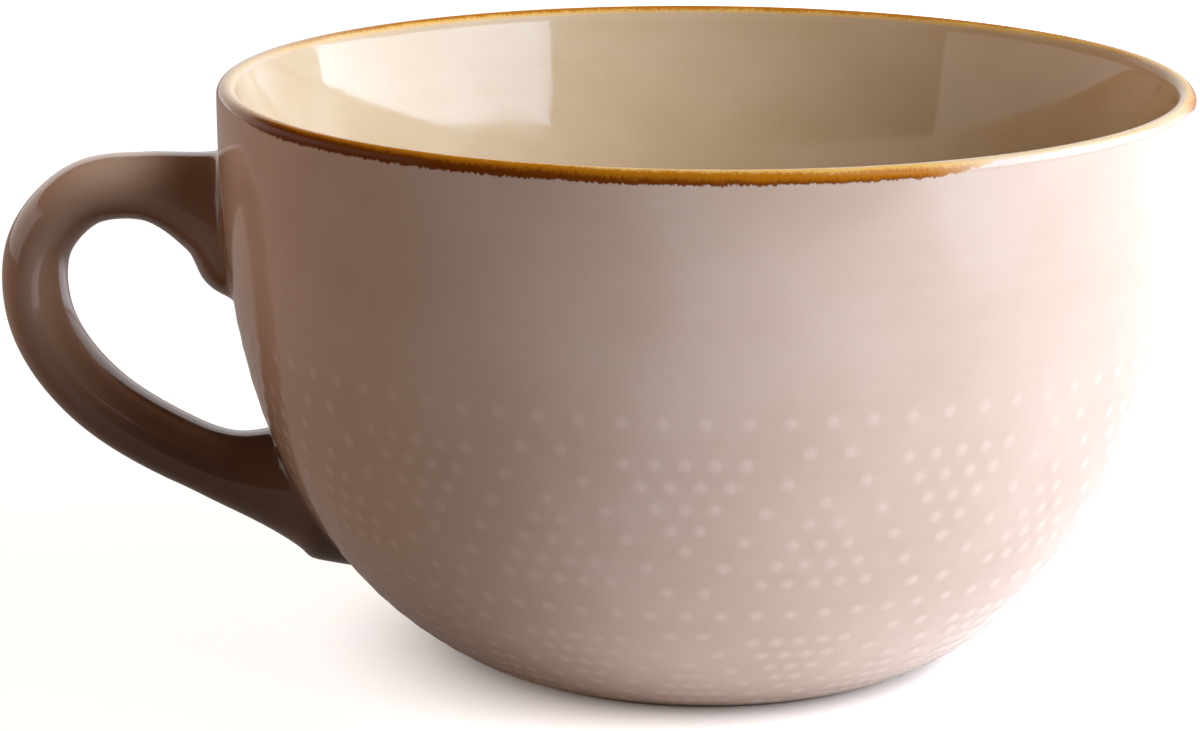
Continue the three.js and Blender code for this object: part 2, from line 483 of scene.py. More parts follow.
class Paint(Nodes):
    """A material under construction, on Object coordinates."""

    def __init__(self, name: str) -> None:
        """Start a material.

        Args:
            name: The material's name.
        """
        self.material = bpy.data.materials.new(name)
        self.material.use_nodes = True
        super().__init__(self.material.node_tree)
        self.shader = self.tree.nodes["Principled BSDF"]
        self.coords = self.tree.nodes.new("ShaderNodeTexCoord").outputs["Object"]

    def apply(self, name: str, value: object) -> None:
        """Feed one of the shader's sockets by its name."""
        self.feed(self.shader.inputs[name], value)

    def noise(self, size: float, detail: float = 3, stretch: Colour = (1, 1, 1)) -> Socket:
        """Add a cloudy pattern.

        Args:
            size: Size of its larger features.
            detail: How many finer layers it has.
            stretch: How many times longer the features are along each axis.

        Returns:
            The pattern, about 0.5 on average.
        """
        mapping = self.tree.nodes.new("ShaderNodeMapping")
        mapping.inputs["Scale"].default_value = [1 / (size * s) for s in stretch]
        self.feed(mapping.inputs["Vector"], self.coords)
        noise = self.tree.nodes.new("ShaderNodeTexNoise")
        noise.inputs["Scale"].default_value = 1
        noise.inputs["Detail"].default_value = detail
        self.feed(noise.inputs["Vector"], mapping.outputs["Vector"])
        return noise.outputs["Fac"]

    def remap(self, value: Socket, low: float, high: float, start: float = 0, end: float = 1) -> Socket:
        """Stretch a value softly from one range to another.

        Args:
            value: The value.
            low: Where its range starts.
            high: Where its range ends.
            start: What the low end becomes.
            end: What the high end becomes.

        Returns:
            The value in its new range.
        """
        node = self.tree.nodes.new("ShaderNodeMapRange")
        node.interpolation_type = "SMOOTHSTEP"
        for socket, number in zip(node.inputs[1:5], (low, high, start, end)):
            socket.default_value = number
        self.feed(node.inputs["Value"], value)
        return node.outputs["Result"]

    def place(self) -> dict[str, Socket]:
        """Split the Object coordinates.

        Returns:
            Their parts under x, y and z.
        """
        node = self.tree.nodes.new("ShaderNodeSeparateXYZ")
        self.feed(node.inputs["Vector"], self.coords)
        return {"x": node.outputs["X"], "y": node.outputs["Y"], "z": node.outputs["Z"]}

    def reach(self, axis: float) -> Socket:
        """Measure the distance from the bowl's axis.

        Args:
            axis: The axis's place along x.

        Returns:
            The distance.
        """
        mapping = self.tree.nodes.new("ShaderNodeMapping")
        mapping.inputs["Location"].default_value = (-axis, 0, 0)
        mapping.inputs["Scale"].default_value = (1, 1, 0)
        self.feed(mapping.inputs["Vector"], self.coords)
        node = self.tree.nodes.new("ShaderNodeVectorMath")
        node.operation = "LENGTH"
        self.feed(node.inputs[0], mapping.outputs["Vector"])
        return node.outputs["Value"]

    def bump(self, height: Socket, depth: float) -> None:
        """Press a pattern into the surface.

        Args:
            height: The pattern, from 0 to 1.
            depth: Height of its features.
        """
        node = self.tree.nodes.new("ShaderNodeBump")
        node.inputs["Strength"].default_value = 1
        node.inputs["Distance"].default_value = depth
        self.feed(node.inputs["Height"], height)
        self.apply("Normal", node.outputs["Normal"])


@dataclass(frozen=True)
class Finish(ABC):
    """What a surface looks like."""

    name: str

    @abstractmethod
    def material(self) -> bpy.types.Material:
        """Make the finish's material."""


@dataclass(frozen=True)
class Clay(Finish):
    """Matt fired stoneware with fine sand in it."""

    colour: Colour
    grain: Colour
    grain_size: float = 0.5 * MM
    grain_range: Span = (0.5, 0.7)
    grain_share: float = 0.7
    cloud_size: float = 9 * MM
    cloud_range: Span = (0.4, 0.8)
    cloud_share: float = 0.4
    roughness: Span = (0.75, 0.95)
    depth: float = 0.03 * MM

    def material(self) -> bpy.types.Material:
        """Make the clay's material.

        Returns:
            The material.
        """
        paint = Paint(self.name)
        sand = paint.noise(self.grain_size)
        cloud = paint.remap(paint.noise(self.cloud_size), *self.cloud_range, 0, self.cloud_share)
        share = paint.sum("MULTIPLY_ADD", paint.remap(sand, *self.grain_range), self.grain_share, cloud)
        paint.apply("Base Color", paint.mix(share, self.colour, self.grain))
        paint.apply("Roughness", paint.remap(sand, *NOISE_RANGE, *self.roughness))
        paint.bump(sand, self.depth)
        return paint.material


@dataclass(frozen=True)
class Glaze(Finish):
    """Glossy glaze with soft drifts of a second tone and faint level lines from the wheel."""

    colour: Colour
    drift: Colour
    drift_size: float = 16 * MM
    drift_range: Span = (0.35, 0.75)
    drift_share: float = 0.75
    line_size: float = 2.2 * MM
    line_stretch: float = 40
    line_range: Span = (0.35, 0.65)
    line_share: float = 0.15
    gloss: float = 0.09
    dulling: float = 1.5
    ripple_size: float = 3.5 * MM
    ripple: float = 0.012 * MM

    def tone(self, paint: Paint) -> Socket:
        """Make the glaze's colour.

        Args:
            paint: The material that gets the nodes.

        Returns:
            The colour.
        """
        drift = paint.remap(paint.noise(self.drift_size, 4), *self.drift_range, 0, self.drift_share)
        lines = paint.noise(self.line_size, 2, (self.line_stretch, self.line_stretch, 1))
        share = paint.sum("MULTIPLY_ADD", paint.remap(lines, *self.line_range), self.line_share, drift)
        return paint.mix(share, self.colour, self.drift)

    def surface(self, paint: Paint) -> None:
        """Make the glaze's gloss and its slightly uneven surface.

        Args:
            paint: The material that gets the nodes.
        """
        uneven = paint.noise(self.ripple_size, 2)
        paint.apply("Roughness", paint.remap(uneven, *NOISE_RANGE, self.gloss, self.gloss * self.dulling))
        paint.bump(uneven, self.ripple)

    def material(self) -> bpy.types.Material:
        """Make the glaze's material.

        Returns:
            The material.
        """
        paint = Paint(self.name)
        paint.apply("Base Color", self.tone(paint))
        self.surface(paint)
        return paint.material


@dataclass(frozen=True)
class DottedGlaze(Glaze):
    """The same glaze over raised dots, where it runs thinner and paler on their tops."""

    crown: Colour = WHITE
    crown_range: Span = (0.05, 1.0)
    attribute: str = "rise"

    def tone(self, paint: Paint) -> Socket:
        """Make the glaze's colour, paler towards the dots' tops.

        Args:
            paint: The material that gets the nodes.

        Returns:
            The colour.
        """
        node = paint.tree.nodes.new("ShaderNodeAttribute")
        node.attribute_name = self.attribute
        return paint.mix(paint.remap(node.outputs["Fac"], *self.crown_range), super().tone(paint), self.crown)


@dataclass(frozen=True)
class HandleGlaze(Glaze):
    """The handle's glaze, paler on the top of the loop as painted light from above, and darker on its lower
    arm as painted shade.
    """

    # Painted light on the top of the loop and painted shade on its lower arm
    painted_lit_top: Colour = WHITE
    painted_shade_colour: Colour = (0, 0, 0)
    painted_lit_heights: Span = (57 * MM, 66 * MM)
    painted_lit_reach: Span = (-54 * MM, -64 * MM)
    painted_shade_heights: Span = (50 * MM, 28 * MM)
    waver: float = 6 * MM

    def tone(self, paint: Paint) -> Socket:
        """Make the glaze's colour, paler above as painted light and darker below as painted shade.

        Args:
            paint: The material that gets the nodes.

        Returns:
            The colour.
        """
        drift = paint.sum("SUBTRACT", paint.noise(self.drift_size, 3), 0.5)
        height = paint.sum("MULTIPLY_ADD", drift, self.waver, paint.place()["z"])
        # Painted shade: the lower arm turns darker
        colour = paint.mix(paint.remap(height, *self.painted_shade_heights), super().tone(paint), self.painted_shade_colour)
        # Painted light: the top of the loop turns paler, away from the root
        loop = paint.remap(paint.place()["x"], *self.painted_lit_reach)
        painted_lit_top = paint.sum("MULTIPLY", paint.remap(height, *self.painted_lit_heights), loop)
        return paint.mix(painted_lit_top, colour, self.painted_lit_top)


@dataclass(frozen=True)
class PaleStretch:
    """A stretch of the rim, in degrees round the bowl, where the band's edge lies higher and the band turns
    pale.
    """

    start: float
    full: float
    fade: float
    end: float
    lift: float

    def share(self, paint: Paint, angle: Socket) -> Socket:
        """Tell how strongly the stretch lifts and pales the band.

        Args:
            paint: The material that gets the nodes.
            angle: Angle round the bowl.

        Returns:
            1 between full and fade, 0 outside the stretch.
        """
        start, full, fade, end = (math.radians(turn) for turn in (self.start, self.full, self.fade, self.end))
        return paint.sum("SUBTRACT", paint.remap(angle, start, full), paint.remap(angle, fade, end))


@dataclass(frozen=True)
class IronBand(Finish):
    """Iron band with a ragged lower edge: brown to amber, gold where it thins on the crest, pale over set
    stretches, the right one a painted reflection.

    Its colours follow the lean of the lip, an angle that is 0 on the crest and grows outwards. The shifts
    move them with the clouds, with the teeth, towards the back and towards the right.
    """

    wall: Wall
    glaze: Glaze
    liner: Glaze
    brown: Colour
    amber: Colour
    gold: Colour
    # Pale tone of the stretches; on the right it is painted reflection of the key softbox
    pale_stretch: Colour
    edge: float = 0.35 * MM
    edge_blur: float = 0.12 * MM
    tooth: float = 0.4 * MM
    tooth_depth: float = 1.0 * MM
    tooth_shift: float = 0.9
    wander: float = 9 * MM
    wander_depth: float = 0.6 * MM
    wander_shift: float = 0.6
    back_shift: float = 10.4
    right_shift: float = -108.0
    amber_leans: Span = (1.0, 0.35)
    gold_leans: Span = (0.15, -0.4)
    liner_leans: Span = (-0.45, -0.95)
    inner_leans: Span = (-0.95, -1.35)
    stretches: tuple[PaleStretch, ...] = (
        # The second stretch, on the right, is a painted reflection of the key softbox that washes the band
        # out
        PaleStretch(-140, -100, -76, -54, 1.2 * MM),
        PaleStretch(23, 34, 68, 80, 1.25 * MM),
    )
    pale_stretch_strength: float = 0.8
    sheen: Span = (0.5, 0.08)

    def material(self) -> bpy.types.Material:
        """Make the band's material.

        Returns:
            The material.
        """
        paint = Paint(self.name)
        wall = self.wall
        place = paint.place()
        side = paint.sum("SUBTRACT", place["x"], wall.axis)
        height = paint.sum("SUBTRACT", place["z"], wall.lip_base)
        angle = paint.sum("ARCTAN2", side, paint.sum("MULTIPLY", place["y"], -1.0))
        lean = paint.sum("ARCTAN2", paint.sum("SUBTRACT", paint.reach(wall.axis), wall.lip_centre), height)
        wander = paint.sum("SUBTRACT", paint.noise(self.wander, 3), 0.5)
        teeth = paint.sum("SUBTRACT", paint.noise(self.tooth, 3, (1, 1, 3)), 0.5)
        ragged = paint.sum("MULTIPLY_ADD", wander, -self.wander_depth, height)
        ragged = paint.sum("MULTIPLY_ADD", teeth, -self.tooth_depth, ragged)
        pale_stretch = 0.0
        # Each stretch lifts the band's edge and pales the band; on the right this is painted reflection
        for stretch in self.stretches:
            share = stretch.share(paint, angle)
            ragged = paint.sum("MULTIPLY_ADD", share, -stretch.lift, ragged)
            pale_stretch = paint.sum("ADD", pale_stretch, share)
        iron = paint.remap(ragged, -self.edge - self.edge_blur, -self.edge + self.edge_blur)
        step = paint.sum("MULTIPLY_ADD", wander, self.wander_shift, lean)
        step = paint.sum("MULTIPLY_ADD", place["y"], self.back_shift, step)
        step = paint.sum("MULTIPLY_ADD", teeth, self.tooth_shift, step)
        right = paint.sum("MULTIPLY", side, paint.sum("SUBTRACT", wall.rim_radius, place["y"]))
        step = paint.sum("MULTIPLY_ADD", right, self.right_shift, step)
        colour = paint.mix(paint.remap(step, *self.amber_leans), self.brown, self.amber)
        colour = paint.mix(paint.remap(step, *self.gold_leans), colour, self.gold)
        colour = paint.mix(paint.sum("MULTIPLY", pale_stretch, self.pale_stretch_strength), colour, self.pale_stretch)
        colour = paint.mix(iron, self.glaze.tone(paint), colour)
        inner = paint.remap(lean, *self.inner_leans)
        inner = paint.sum("MAXIMUM", paint.remap(step, *self.liner_leans), inner)
        paint.apply("Base Color", paint.mix(inner, colour, self.liner.tone(paint)))
        self.glaze.surface(paint)
        paint.apply("Specular IOR Level", paint.remap(iron, 0, 1, *self.sheen))
        return paint.material


def close_up(crease: float) -> None:
    """Close the holes of the piece in Edit Mode, face it outwards, leave Edit Mode and smooth the piece.

    Args:
        crease: Angle above which an edge stays sharp.
    """
    bpy.ops.mesh.select_all(action="SELECT")
    bpy.ops.mesh.fill_holes(sides=0)
    bpy.ops.mesh.select_all(action="SELECT")
    bpy.ops.mesh.normals_make_consistent(inside=False)
    bpy.ops.object.mode_set(mode="OBJECT")
    bpy.ops.object.shade_smooth_by_angle(angle=crease)


def hand_over(piece: bpy.types.Object, finish: Finish, slot: Slot, *nodes: Node) -> None:
    """Dress a finished piece and give it to the frame.

    Args:
        piece: The piece.
        finish: What it looks like.
        slot: The record's slot that its finish stands for; not used.
        nodes: CAD nodes that it stands for.
    """
    piece.data.materials.clear()
    piece.data.materials.append(finish.material())
    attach(piece, BODY)
    if nodes:
        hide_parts(*(node.value for node in nodes))
    LOG.info("%s: %d faces", piece.name, len(piece.data.polygons))


@dataclass
class Bowl:
    """The bowl: clay body with its foot ring, outer glaze, liner and rim band."""

    wall: Wall
    wheel: Wheel
    clay: Clay
    outer: Glaze
    liner: Glaze
    band: IronBand
    coat: float = 0.4 * MM
    bead_share: float = 0.45
    clay_depth: float = 0.5 * MM
    foot_radius: float = 31.8 * MM
    foot_width: float = 4.5 * MM
    foot_recess: float = 1.4 * MM
    foot_chamfer: float = 0.5 * MM
    foot_round: float = 0.2 * MM
    spacing: float = 1.6 * MM
    lip_spacing: float = 0.25 * MM
    hidden_spacing: float = 4 * MM

    def build(self) -> None:
        """Make and dress the bowl's pieces."""
        self.build_clay()
        self.build_outer_glaze()
        self.build_liner()
        self.build_band()

    def build_clay(self) -> None:
        """Make the clay body, of which the foot ring shows."""
        ring = self.foot_radius - self.foot_width
        foot = [
            Vector((0, self.foot_recess)),
            Vector((ring - self.foot_recess, self.foot_recess)),
            Vector((ring, 0)),
            Vector((self.foot_radius - self.foot_chamfer, 0)),
            Vector((self.foot_radius, self.foot_chamfer)),
        ]
        wall = self.wall
        outside = wall.outside(wall.glaze_line, wall.lip_base)
        surface = outside + wall.lip()[1:] + wall.inside(wall.lip_base)[1:]
        body = Path(sunk(Path(surface).even(self.spacing), self.clay_depth)).even(self.hidden_spacing)
        outline = round_corners(foot + body[:1], self.foot_round) + body[1:]
        hand_over(self.wheel.turn("clay_body", outline), self.clay, Slot.BARE_CLAY, Node.BOWL)

    def build_outer_glaze(self) -> None:
        """Make the coat on the outside, with a rounded edge above the foot."""
        surface = Path(self.wall.outside(self.wall.glaze_line, self.wall.band_edge)).even(self.spacing)
        under = sunk(surface, self.coat)
        outline = surface + under[::-1]
        bead = round_corners([outline[1], outline[0], outline[-1], outline[-2]], self.coat * self.bead_share)
        piece = self.wheel.turn("outer_coat", outline[1:-1] + bead[::-1])
        hand_over(piece, self.outer, Slot.BEIGE_GLAZE, Node.OUTER_GLAZE)

    def build_liner(self) -> None:
        """Make the coat on the inside."""
        surface = Path(self.wall.inside(self.wall.band_edge_inside)).even(self.spacing)
        outline = sunk(surface, self.coat)[::-1] + surface
        hand_over(self.wheel.turn("liner_coat", outline), self.liner, Slot.CREAM_GLAZE, Node.LINER_GLAZE)

    def build_band(self) -> None:
        """Make the band over the lip."""
        wall = self.wall
        outside = wall.outside(wall.band_edge, wall.lip_base)
        inside = wall.inside(wall.lip_base, wall.band_edge_inside)
        surface = Path(outside + wall.lip()[1:] + inside[1:]).even(self.lip_spacing)
        outline = surface + sunk(surface, self.coat)[::-1] + surface[:1]
        hand_over(self.wheel.turn("lip_band", outline), self.band, Slot.IRON_GLAZE, Node.RIM_BAND)


@dataclass(frozen=True)
class RootFlare:
    """How the handle widens where it meets the wall, and softly stops widening at the root."""

    growth: float
    length: float
    softness: float = 0.05

    def at(self, distance: float) -> float:
        """Find how much wider the handle is.

        Args:
            distance: Distance from the root, negative inside the wall.

        Returns:
            Growth of the half thickness.
        """
        full = 1 + self.softness / 4
        share = -smooth_max(distance / self.length - 1, -full, self.softness)
        return self.growth * max(0.0, share) ** 2


@dataclass
class Handle:
    """The glazed ear handle, with its roots drawn out over the wall in a small fillet."""

    wall: Wall
    finish: Glaze
    reach: float = 25.68 * MM
    thickness: float = 8.7 * MM
    width: float = 14 * MM
    upper_root: float = 58.1 * MM
    lower_root: float = 21.3 * MM
    root_sink: float = 2 * MM
    run_on: float = 10 * MM
    upper_flare: RootFlare = RootFlare(6.1 * MM, 16.6 * MM)
    lower_flare: RootFlare = RootFlare(6.4 * MM, 18.3 * MM)
    flare_widening: float = 0.6
    loop: tuple[tuple[float, float], ...] = (
        (0.085, 1.06),
        (0.41, 1.115),
        (0.75, 1.075),
        (0.985, 0.87),
        (0.95, 0.565),
        (0.625, 0.28),
        (0.04, 0.06),
    )
    fillet: float = 1.4 * MM
    fillet_steps: int = 5
    bury: float = 0.35 * MM
    sides: int = 56
    stations: int = 110
    halvings: int = 40
    crease: float = math.radians(50)
    line: Path = field(init=False)
    edges: tuple[list[Vector], list[Vector]] = field(init=False)

    def __post_init__(self) -> None:
        """Lay the handle's line and find the edges of its roots on the wall."""
        self.line = Path(self.trace())
        rings = self.rings()
        self.edges = (rings[0], rings[-1])

    def trace(self, steps: int = 40) -> list[Vector]:
        """Draw a smooth line through the handle's points.

        Args:
            steps: Number of steps from one point to the next.

        Returns:
            Points of distance from the bowl's axis and height, from the upper root to the lower.
        """
        roots = [
            Vector((self.wall.radius(height) - self.root_sink, height))
            for height in (self.upper_root, self.lower_root)
        ]
        ear = [
            Vector((self.wall.rim_radius + out * self.reach, lerp(self.lower_root, self.upper_root, up)))
            for out, up in self.loop
        ]
        knots = [roots[0], *ear, roots[1]]
        knots = [knots[0], *knots, knots[-1]]
        points = []
        for a, b, c, d in zip(knots, knots[1:], knots[2:], knots[3:]):
            leave, arrive = (c - a) / 2, (d - b) / 2
            for i in range(steps):
                t = i / steps
                bend = (2 * b - 2 * c + leave + arrive) * t - 3 * b + 3 * c - 2 * leave - arrive
                points.append(bend * t * t + leave * t + b)
        return [*points, knots[-1]]

    def skin(self, distance: float, turn: float) -> Vector:
        """Find a place on the handle's surface.

        Args:
            distance: Distance along the handle's line.
            turn: Angle round the section, 0 on the outer side of the ear.

        Returns:
            The place in the CAD frame.
        """
        inside = min(max(distance, 0.0), self.line.length)
        centre = self.line.at(inside)
        along = self.line.heading(inside)
        centre = centre + along * (distance - inside)
        flare = self.upper_flare.at(distance) + self.lower_flare.at(self.line.length - distance)
        rise = (self.thickness / 2 + flare) * math.cos(turn)
        across = (self.width / 2 + self.flare_widening * flare) * math.sin(turn)
        return Vector((self.wall.axis - centre.x + along.y * rise, across, centre.y + along.x * rise))

    def meet_wall(self, turn: float, end: float) -> float:
        """Find where one side of the handle meets the wall.

        Args:
            turn: Angle round the section.
            end: Distance along the line that lies inside the wall.

        Returns:
            The distance along the handle's line.
        """
        clear, buried = self.line.length / 2, end
        for _ in range(self.halvings):
            middle = (clear + buried) / 2
            if self.wall.clearance(self.skin(middle, turn)) > 0:
                clear = middle
            else:
                buried = middle
        return clear

    def root(self, turns: Sequence[float], meets: Sequence[float], inward: float) -> list[list[Vector]]:
        """Make the rings that draw one root out over the wall.

        Args:
            turns: Angles round the section.
            meets: Where each side meets the wall.
            inward: 1 if the handle lies ahead on its line, -1 if behind.

        Returns:
            Rings from the handle outwards, the last one buried in the wall.
        """
        corner = [self.skin(meet, turn) for meet, turn in zip(meets, turns)]
        middle = sum(corner, Vector()) / len(corner)
        start = [self.skin(meet + inward * self.fillet, turn) for meet, turn in zip(meets, turns)]
        end = []
        for i, place in enumerate(corner):
            along = corner[(i + 1) % len(corner)] - corner[i - 1]
            away = along.cross(self.wall.outward(place)).normalized()
            away = away if away.dot(place - middle) > 0 else -away
            end.append(self.wall.settle(place + away * self.fillet))
        rings = []
        for step in range(1, self.fillet_steps + 1):
            share = step / self.fillet_steps
            rings.append([
                a.lerp(b, share).lerp(b.lerp(c, share), share) for a, b, c in zip(start, corner, end)
            ])
        rings.append([place - self.wall.outward(place) * self.bury for place in end])
        return rings

    def rings(self) -> list[list[Vector]]:
        """Lay the rings of the skin.

        Returns:
            The rings from the upper root to the lower, each a list of places.
        """
        turns = [math.tau * i / self.sides for i in range(self.sides)]
        upper = [self.meet_wall(turn, -self.run_on) for turn in turns]
        lower = [self.meet_wall(turn, self.line.length + self.run_on) for turn in turns]
        body = []
        for station in range(self.stations + 1):
            share = station / self.stations
            body.append([
                self.skin(lerp(first + self.fillet, last - self.fillet, share), turn)
                for first, last, turn in zip(upper, lower, turns)
            ])
        return [*self.root(turns, upper, 1)[::-1], *body, *self.root(turns, lower, -1)]

    def covers(self, place: Vector, margin: float) -> bool:
        """Tell whether a place on the wall lies under a root or close to it.

        Args:
            place: The place.
            margin: How far from a root counts as close.

        Returns:
            True if a root covers the place or comes closer than the margin.
        """
        for edge in self.edges:
            if min((place - point).length for point in edge) < margin:
                return True
            inside = False
            for here, there in zip(edge, [*edge[1:], edge[0]]):
                if (here.z > place.z) != (there.z > place.z):
                    share = (place.z - here.z) / (there.z - here.z)
                    inside ^= place.x < self.wall.axis and place.y < lerp(here.y, there.y, share)
            if inside:
                return True
        return False

    def build(self) -> None:
        """Extrude the skin ring by ring along the ear, close it and dress it."""
        rings = self.rings()
        bpy.ops.object.select_all(action="DESELECT")
        bpy.ops.mesh.primitive_circle_add(vertices=self.sides, radius=self.thickness / 2, fill_type="NOTHING")
        skin = bpy.context.object
        skin.name = skin.data.name = "handle_coat"
        bpy.ops.object.mode_set(mode="EDIT")
        bpy.ops.mesh.select_all(action="SELECT")
        # Each step makes a ring of faces at any height. The rings then move to their places.
        for _ in rings[1:]:
            bpy.ops.mesh.extrude_edges_move(TRANSFORM_OT_translate={"value": (0, 0, self.fillet)})
        bpy.ops.object.mode_set(mode="OBJECT")
        skin.data.vertices.foreach_set("co", [value for ring in rings for place in ring for value in place])
        bpy.ops.object.mode_set(mode="EDIT")
        close_up(self.crease)
        hand_over(skin, self.finish, Slot.TAUPE_GLAZE, Node.HANDLE_GLAZE)


@dataclass
class DotFrieze:
    """Two bands of raised dots round the belly, which stop at the handle: rings, zigzags and triangles."""

    wall: Wall
    handle: Handle
    finish: DottedGlaze
    periods: int = 11
    start: float = math.radians(-1.93)
    top: float = 46.52 * MM
    bands: int = 2
    band_length: float = 29.05 * MM
    ring_dots: int = 7
    zigzag_steps: int = 7
    triangle_rows: int = 5
    triangle_drop: float = 5.55 * MM
    row_pitch: float = 3.1 * MM
    dot_pitch: float = math.radians(3.44)
    dot_radius: float = 1.6 * MM
    relief: float = 0.07 * MM
    sink: float = 0.015 * MM
    dot_sides: int = 10
    dot_rings: tuple[float, ...] = (0.72, 0.44, 0.18)
    crease: float = math.radians(60)
    period: float = field(init=False)

    def __post_init__(self) -> None:
        """Share the turn out among the periods."""
        self.period = math.tau / self.periods

    def build(self) -> None:
        """Make one period of dots, copy it round the bowl and dress the frieze."""
        pattern = self.build_dot()
        belly = Path(self.wall.outside(self.wall.glaze_line, self.top)[::-1])
        seats = [self.seat(belly, angle, drop) for angle, drop in self.spots()]
        sector = self.join([self.copy(pattern, seat) for seat in seats])
        axis = Matrix.Translation((self.wall.axis, 0, 0))
        sectors = []
        for i in range(1, self.periods):
            turn = axis @ Matrix.Rotation(i * self.period, 4, "Z") @ axis.inverted()
            turned = [turn @ seat for seat in seats]
            clear = [seat for seat in turned if not self.handle.covers(seat.translation, self.dot_radius)]
            if len(clear) == len(seats):
                sectors.append(self.copy(sector, turn))
            else:
                sectors.append(self.join([self.copy(pattern, seat) for seat in clear]))
        bpy.data.objects.remove(pattern)
        frieze = self.join([sector, *sectors])
        frieze.name = frieze.data.name = "dot_frieze"
        hand_over(frieze, self.finish, Slot.BEIGE_GLAZE)

    def spots(self) -> Iterator[tuple[float, float]]:
        """List the dots of one period.

        Yields:
            The angle round the bowl and the distance down the wall from the first ring.
        """
        for band in range(self.bands):
            start = self.start + band * self.period / 2
            drop = band * self.band_length
            for i in range(self.ring_dots):
                yield start + (i + 0.5) * self.period / self.ring_dots, drop
            for i in range(1, self.zigzag_steps):
                aside = (1 - i / self.zigzag_steps) * self.period / 2
                for angle in (start - aside, start + aside):
                    yield angle, drop + self.band_length * i / self.zigzag_steps
            for row in range(self.triangle_rows):
                dots = self.triangle_rows - row
                down = self.triangle_drop + row * self.row_pitch
                for i in range(dots):
                    aside = (i - (dots - 1) / 2) * self.dot_pitch
                    yield start + aside, drop + down
                    yield start + self.period / 2 + aside, drop + self.band_length - down

    def build_dot(self) -> bpy.types.Object:
        """Make one soft dot, face up at the origin.

        Returns:
            The dot, with its rise from edge to top in an attribute.
        """
        bpy.ops.object.select_all(action="DESELECT")
        bpy.ops.mesh.primitive_circle_add(vertices=self.dot_sides, radius=self.dot_radius, fill_type="NGON")
        dot = bpy.context.object
        bpy.ops.object.mode_set(mode="EDIT")
        bpy.ops.mesh.select_all(action="SELECT")
        reach, height = 1.0, 0.0
        for ring in self.dot_rings:
            rise = self.relief * (1 + math.cos(math.pi * ring)) / 2
            margin = (reach - ring) * self.dot_radius * math.cos(math.pi / self.dot_sides)
            bpy.ops.mesh.inset(thickness=margin, depth=rise - height)
            reach, height = ring, rise
        close_up(self.crease)
        rise = dot.data.attributes.new(self.finish.attribute, "FLOAT", "POINT")
        rise.data.foreach_set("value", [vertex.co.z / self.relief for vertex in dot.data.vertices])
        return dot

    def seat(self, belly: Path, angle: float, drop: float) -> Matrix:
        """Find how a dot sits on the wall.

        Args:
            belly: The wall's profile from the first ring downwards.
            angle: Angle round the bowl.
            drop: Distance down the wall.

        Returns:
            The dot's place, with its z axis square to the wall.
        """
        place = self.wall.place(angle, belly.at(drop))
        outward = self.wall.outward(place)
        level = Vector((math.cos(angle), math.sin(angle), 0))
        seat = Matrix((level, outward.cross(level), outward)).transposed().to_4x4()
        seat.translation = place - outward * self.sink
        return seat

    @staticmethod
    def copy(piece: bpy.types.Object, place: Matrix) -> bpy.types.Object:
        """Copy a piece with its own mesh to a place.

        Args:
            piece: The piece to copy.
            place: The copy's place.

        Returns:
            The copy.
        """
        bpy.ops.object.select_all(action="DESELECT")
        piece.select_set(True)
        bpy.context.view_layer.objects.active = piece
        bpy.ops.object.duplicate(linked=False)
        copy = bpy.context.object
        copy.matrix_world = place
        return copy

    @staticmethod
    def join(pieces: Sequence[bpy.types.Object]) -> bpy.types.Object:
        """Join pieces into one at the origin.

        Args:
            pieces: The pieces.

        Returns:
            The joined piece.
        """
        bpy.ops.object.select_all(action="DESELECT")
        for piece in pieces:
            piece.select_set(True)
        bpy.context.view_layer.objects.active = pieces[0]
        bpy.ops.object.join()
        bpy.ops.object.transform_apply()
        return bpy.context.object


@dataclass
class Core:
    """The handle's clay and the slip at its roots, which stay as the CAD model has them."""

    clay: Clay
    slip: Clay

    def dress(self) -> None:
        """Give the CAD pieces their finishes."""
        clay = self.clay.material()
        slip = self.slip.material()
        for node, material in ((Node.HANDLE, clay), (Node.UPPER_JOINT, slip), (Node.LOWER_JOINT, slip)):
            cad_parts[node.value].material_slots[0].material = material
            LOG.info("%s: dressed", node.value)


@dataclass(frozen=True)
class Softbox:
    """A soft lamp that hangs round the mug and faces it, with its angle, elevation and roll in degrees."""

    name: str
    angle: float
    elevation: float
    distance: float
    size: tuple[float, float]
    radiance: float
    colour: Colour
    mirrored: bool = True
    roll: float = 0.0

    def hang(self, target: Vector) -> None:
        """Hang the lamp.

        Args:
            target: What it faces.
        """
        lamp = bpy.data.lights.new(self.name, "AREA")
        lamp.shape = "RECTANGLE"
        lamp.size, lamp.size_y = self.size
        lamp.energy = self.radiance * math.pi * lamp.size * lamp.size_y
        lamp.color = self.colour
        softbox = bpy.data.objects.new(self.name, lamp)
        bpy.context.scene.collection.objects.link(softbox)
        softbox.visible_glossy = self.mirrored
        angle, elevation = math.radians(self.angle), math.radians(self.elevation)
        flat = math.cos(elevation)
        away = Vector((math.sin(angle) * flat, -math.cos(angle) * flat, math.sin(elevation)))
        softbox.location = target + away * self.distance
        softbox.rotation_mode = "QUATERNION"
        roll = Quaternion((0, 0, 1), math.radians(self.roll))
        softbox.rotation_quaternion = away.to_track_quat("Z", "Y") @ roll


